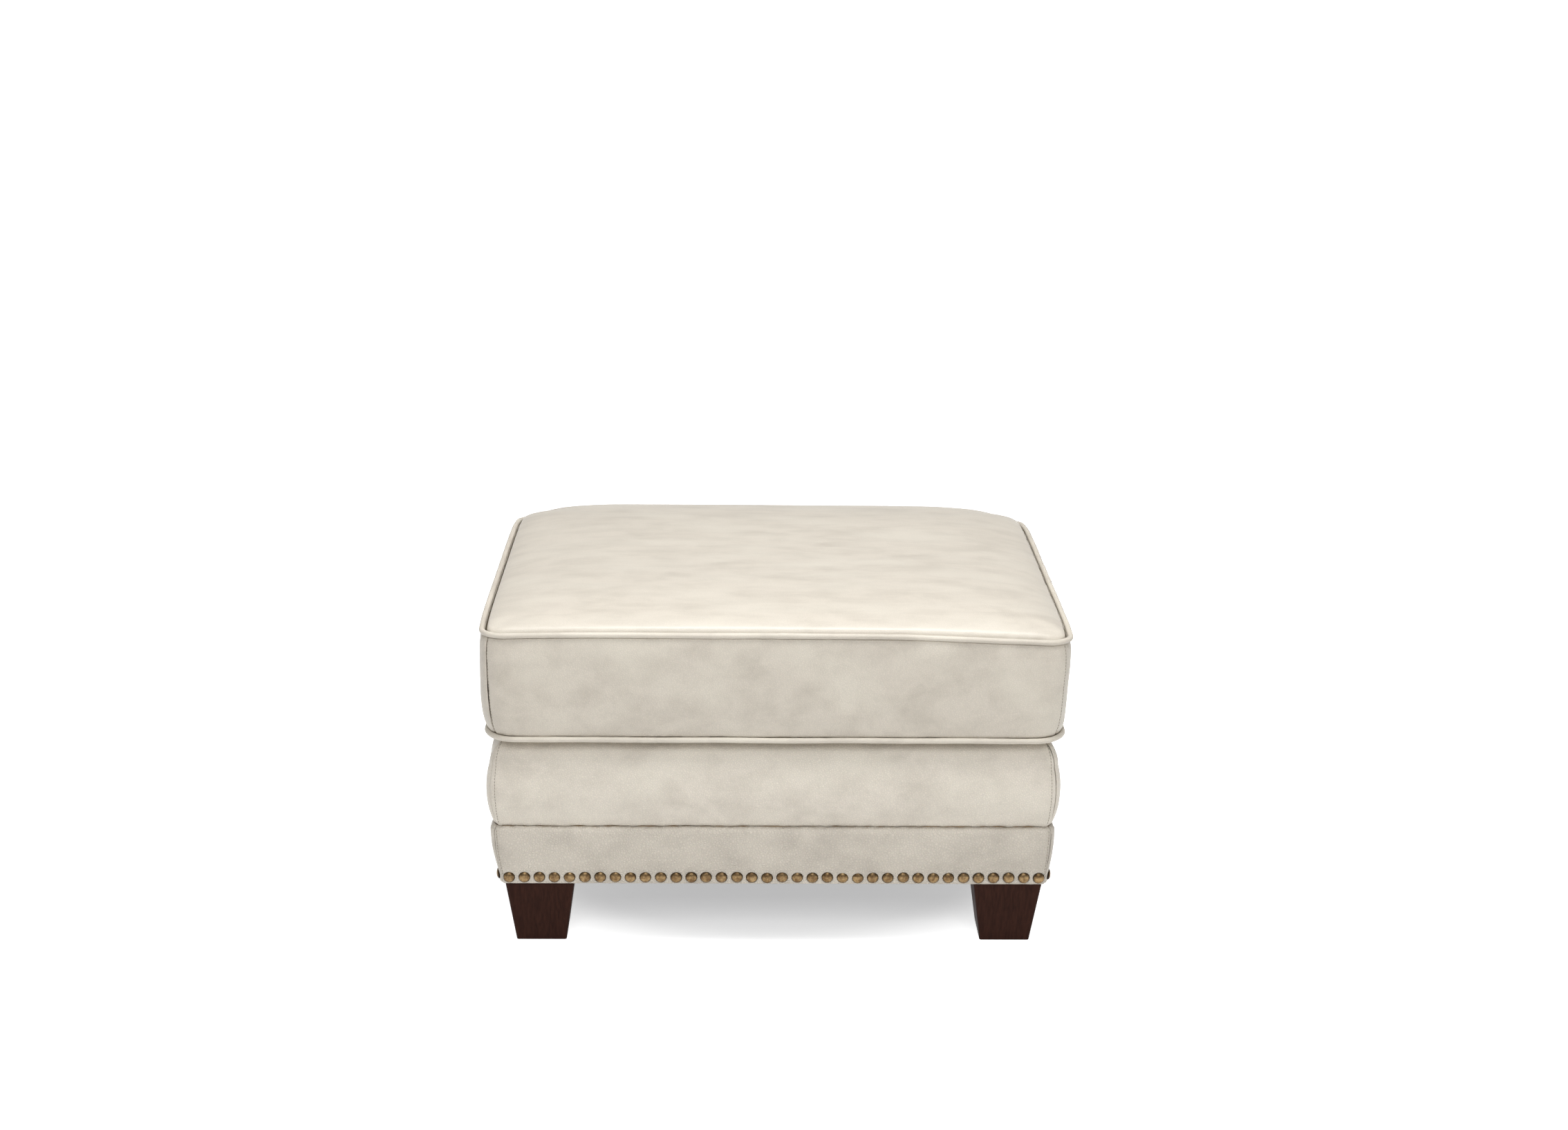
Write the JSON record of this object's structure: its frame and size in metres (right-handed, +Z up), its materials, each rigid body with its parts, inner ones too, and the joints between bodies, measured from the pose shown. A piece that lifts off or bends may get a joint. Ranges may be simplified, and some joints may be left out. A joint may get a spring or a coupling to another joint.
{
  "type": "upholstered footstool",
  "caption": "Leather footstool: a sprung hardwood box on tapered feet, with nailed lower bands and a loose boxed and piped cushion that zips at the back.",
  "frame": {"origin": "on the floor under the middle of the stool", "axes": "+X across the width, to the right as seen from the front; the front faces -Y; +Z up"},
  "size_m": [0.762, 0.6129, 0.4695],
  "materials": {
    "cover_leather": "satin",
    "foot_wood": "satin",
    "frame_wood": "matte",
    "zinc_steel": "satin",
    "spring_steel": "satin",
    "hessian": "matte",
    "foam": "matte",
    "fibre": "matte",
    "card": "matte",
    "deck_cloth": "matte",
    "dust_cloth": "matte",
    "antique_brass": "satin",
    "welt_cord": "matte",
    "zip_tape": "matte",
    "zip_teeth": "satin"
  },
  "bodies": {
    "base": {"foot_front_left": "foot_wood", "foot_front_right": "foot_wood", "foot_back_left": "foot_wood", "foot_back_right": "foot_wood", "corner_block_front_left": "frame_wood", "corner_block_front_right": "frame_wood", "corner_block_back_left": "frame_wood", "corner_block_back_right": "frame_wood", "front_board": "frame_wood", "back_board": "frame_wood", "left_board": "frame_wood", "right_board": "frame_wood", "centre_brace": "frame_wood", "dowels": "frame_wood", "foot_bolts": "zinc_steel", "tee_nuts": "zinc_steel", "block_screws": "zinc_steel", "spring_1": "spring_steel", "spring_2": "spring_steel", "spring_3": "spring_steel", "spring_4": "spring_steel", "spring_5": "spring_steel", "spring_clips": "zinc_steel", "clip_nails": "zinc_steel", "tie_wires": "spring_steel", "spring_cover": "hessian", "edge_roll": "foam", "border_front": "cover_leather", "border_right": "cover_leather", "border_back": "cover_leather", "border_left": "cover_leather", "border_padding": "fibre", "card_strip": "card", "band_batting": "fibre", "band_front": "cover_leather", "band_right": "cover_leather", "band_back": "cover_leather", "band_left": "cover_leather", "deck_foam": "foam", "deck_cloth": "deck_cloth", "cover_nails": "antique_brass", "dust_cover": "dust_cloth", "staples": "zinc_steel"},
    "cushion": {"boxing_front": "cover_leather", "boxing_left": "cover_leather", "boxing_right": "cover_leather", "boxing_back_upper": "cover_leather", "boxing_back_lower": "cover_leather", "top_welt": "cover_leather", "bottom_welt": "cover_leather", "welt_cords": "welt_cord", "top_panel": "cover_leather", "bottom_panel": "cover_leather", "foam_core": "foam", "fibre_layer": "fibre", "zip_tapes": "zip_tape", "zip_teeth": "zip_teeth"},
    "slider": {"zip_slider": "antique_brass"},
    "tab": {"pull_tab": "antique_brass"}
  },
  "joints": [
    {"name": "cushion_lift", "type": "slide", "parent": "base", "child": "cushion", "axis": [0, 0, 1], "range_m": [0, 0.35]},
    {"name": "zip_slide", "type": "slide", "parent": "cushion", "child": "slider", "axis": [-1, 0, 0], "range_m": [0, 0.621], "deforming": ["zip_teeth"]},
    {"name": "tab_flip", "type": "hinge", "parent": "slider", "child": "tab", "pos_m": [0.3107, 0.30615, 0.37075], "axis": [0, 0, -1], "range_deg": [0, 170]}
  ]
}
